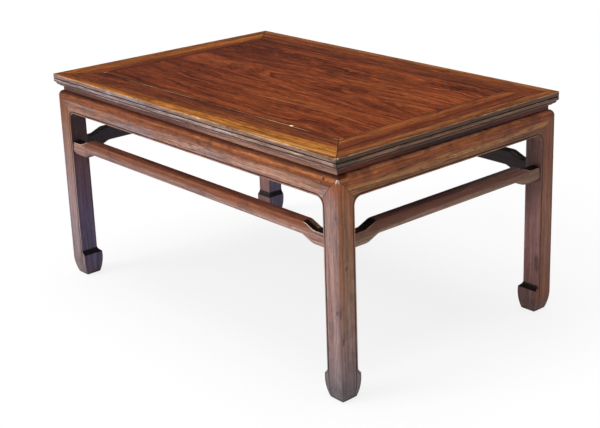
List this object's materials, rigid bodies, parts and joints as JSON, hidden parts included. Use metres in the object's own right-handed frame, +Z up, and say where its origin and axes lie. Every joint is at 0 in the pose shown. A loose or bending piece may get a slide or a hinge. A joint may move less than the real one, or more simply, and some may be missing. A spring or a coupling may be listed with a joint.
{
  "type": "kang table",
  "caption": "Low rectangular hardwood table: mitred frame top with floating panel, recessed waist, plain aprons, humpback stretchers and inward-curling hoof feet.",
  "frame": {"origin": "on the floor, under the centre of the table's footprint", "axes": "+X along the long side, +Y to the back, +Z up"},
  "size_m": [0.84, 0.556, 0.428],
  "materials": {
    "frame_hardwood": "satin",
    "panel_hardwood": "satin",
    "batten_wood": "matte"
  },
  "bodies": {
    "root": {"frame_rail_front": "frame_hardwood", "frame_rail_back": "frame_hardwood", "frame_end_left": "frame_hardwood", "frame_end_right": "frame_hardwood", "top_panel": "panel_hardwood", "batten_left": "batten_wood", "batten_right": "batten_wood", "waist_front": "frame_hardwood", "waist_back": "frame_hardwood", "waist_left": "frame_hardwood", "waist_right": "frame_hardwood", "apron_front": "frame_hardwood", "apron_back": "frame_hardwood", "apron_left": "frame_hardwood", "apron_right": "frame_hardwood", "leg_front_left": "frame_hardwood", "leg_front_right": "frame_hardwood", "leg_back_left": "frame_hardwood", "leg_back_right": "frame_hardwood", "stretcher_front": "frame_hardwood", "stretcher_back": "frame_hardwood", "stretcher_left": "frame_hardwood", "stretcher_right": "frame_hardwood"}
  },
  "joints": []
}
